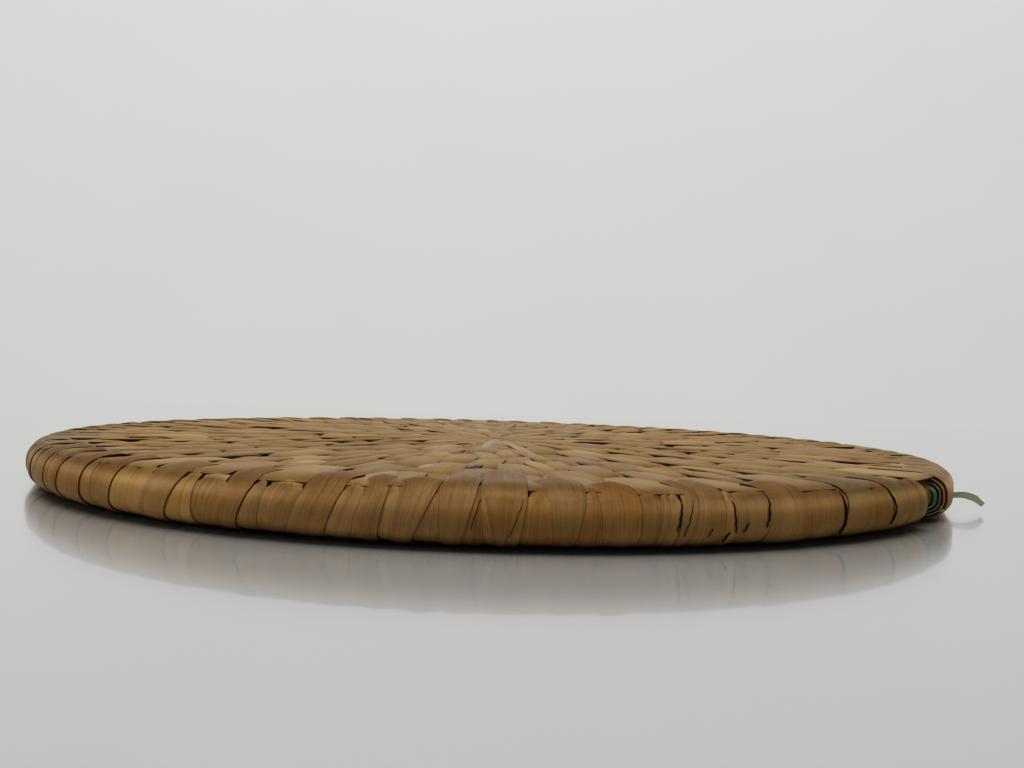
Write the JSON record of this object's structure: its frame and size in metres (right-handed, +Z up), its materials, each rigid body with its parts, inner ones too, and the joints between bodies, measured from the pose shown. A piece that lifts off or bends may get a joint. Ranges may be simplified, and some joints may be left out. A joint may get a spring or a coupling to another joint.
{
  "type": "reed trivet",
  "caption": "Flat round woven reed pot mat with rows of short stitches, a strip-wrapped rounded rim, one slipped-open place and a loose strip end, to keep hot dishes off a table",
  "frame": {"origin": "centre of the flat underside, on the surface the trivet rests on", "axes": "+Z up out of the top face, -Y towards the front of the picture's view, +X to its right"},
  "size_m": [0.22, 0.22, 0.0094],
  "materials": {
    "reed_field": "satin",
    "reed_rim": "satin",
    "reed_loops": "satin",
    "reed_teal": "satin",
    "reed_green": "matte"
  },
  "bodies": {
    "root": {"stitched_field": "reed_field", "rim_wrapping": "reed_rim", "slack_loop": "reed_loops", "second_loop": "reed_loops", "third_loop": "reed_loops", "inner_strip": "reed_teal", "loose_end": "reed_green"}
  },
  "joints": []
}
